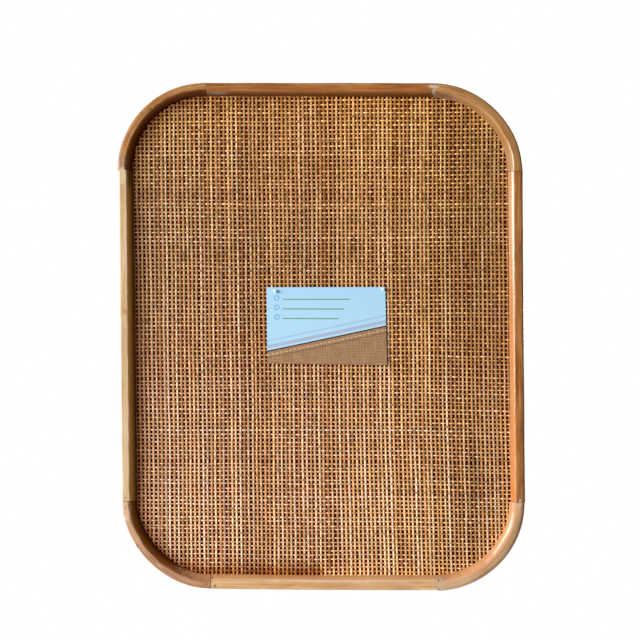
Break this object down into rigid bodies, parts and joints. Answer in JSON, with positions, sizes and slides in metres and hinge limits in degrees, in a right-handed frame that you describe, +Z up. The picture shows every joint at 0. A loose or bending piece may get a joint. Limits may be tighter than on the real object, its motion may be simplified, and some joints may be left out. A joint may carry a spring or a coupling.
{
  "type": "cane memo board",
  "caption": "Wall-hung pin-up board: open-woven cane panel over a pin core in a bent-pole frame with rounded corners, with a pinned card and ring hangers.",
  "frame": {"origin": "on the wall plane, at the middle of the top rail's flat back", "axes": "+Z up as the board hangs, +Y out of its back into the wall, +X to the right seen from the front"},
  "size_m": [0.404, 0.018, 0.508],
  "materials": {
    "pole_pale": "satin varnish over pale rattan pole",
    "pole_blond": "satin varnish over blond rattan pole",
    "pole_tan": "satin varnish over tan bent pole",
    "pole_brown": "satin varnish over brown bent pole",
    "pole_orange": "satin varnish over orange-brown pole",
    "dowel_wood": "bare wood",
    "brad_steel": "darkened steel wire",
    "cane": "natural woven cane, satin",
    "core": "dark brown felted fibre",
    "hardboard": "screen-backed hardboard",
    "plated_steel": "bright plated steel",
    "rivet_brass": "brass plated",
    "card": "printed coated card, satin",
    "pin_head": "gloss pearl"
  },
  "bodies": {
    "board": {"back_panel": "hardboard", "bottom_rail": "pole_blond", "brad_bottom_left_bottom_a": "brad_steel", "brad_bottom_left_bottom_b": "brad_steel", "brad_bottom_left_left_a": "brad_steel", "brad_bottom_left_left_b": "brad_steel", "brad_bottom_right_bottom_a": "brad_steel", "brad_bottom_right_bottom_b": "brad_steel", "brad_bottom_right_right_a": "brad_steel", "brad_bottom_right_right_b": "brad_steel", "brad_top_left_left_a": "brad_steel", "brad_top_left_left_b": "brad_steel", "brad_top_left_top_a": "brad_steel", "brad_top_left_top_b": "brad_steel", "brad_top_right_right_a": "brad_steel", "brad_top_right_right_b": "brad_steel", "brad_top_right_top_a": "brad_steel", "brad_top_right_top_b": "brad_steel", "cane_webbing": "cane", "corner_bottom_left": "pole_tan", "corner_bottom_right": "pole_tan", "corner_top_left": "pole_brown", "corner_top_right": "pole_tan", "dowel_bottom_left_bottom": "dowel_wood", "dowel_bottom_left_left": "dowel_wood", "dowel_bottom_right_bottom": "dowel_wood", "dowel_bottom_right_right": "dowel_wood", "dowel_top_left_left": "dowel_wood", "dowel_top_left_top": "dowel_wood", "dowel_top_right_right": "dowel_wood", "dowel_top_right_top": "dowel_wood", "hanger_rivet_left": "rivet_brass", "hanger_rivet_right": "rivet_brass", "hanger_strap_left": "plated_steel", "hanger_strap_right": "plated_steel", "left_stile": "pole_pale", "memo_card": "card", "pin_core": "core", "retainer_bottom_left": "plated_steel", "retainer_bottom_right": "plated_steel", "retainer_left_lower": "plated_steel", "retainer_left_middle": "plated_steel", "retainer_left_upper": "plated_steel", "retainer_right_lower": "plated_steel", "retainer_right_middle": "plated_steel", "retainer_right_upper": "plated_steel", "retainer_top_left": "plated_steel", "retainer_top_right": "plated_steel", "right_stile": "pole_orange", "top_rail": "pole_orange"},
    "ring_left": {"hanger_ring_left": "plated_steel"},
    "ring_right": {"hanger_ring_right": "plated_steel"},
    "pin_left": {"pin_head_left": "pin_head", "pin_needle_left": "plated_steel"},
    "pin_right": {"pin_head_right": "pin_head", "pin_needle_right": "plated_steel"}
  },
  "joints": [
    {"name": "hanger_ring_left_swing", "type": "hinge", "parent": "board", "child": "ring_left", "pos_m": [-0.118, -0.00185, -0.062], "axis": [1, 0, 0], "range_deg": [0, 178]},
    {"name": "hanger_ring_right_swing", "type": "hinge", "parent": "board", "child": "ring_right", "pos_m": [0.118, -0.00185, -0.062], "axis": [1, 0, 0], "range_deg": [0, 178]},
    {"name": "pin_left_pull", "type": "slide", "parent": "board", "child": "pin_left", "axis": [0, -0.766, 0.6428], "range_m": [0, 0.03]},
    {"name": "pin_right_pull", "type": "slide", "parent": "board", "child": "pin_right", "axis": [0, -0.766, 0.6428], "range_m": [0, 0.03]}
  ]
}
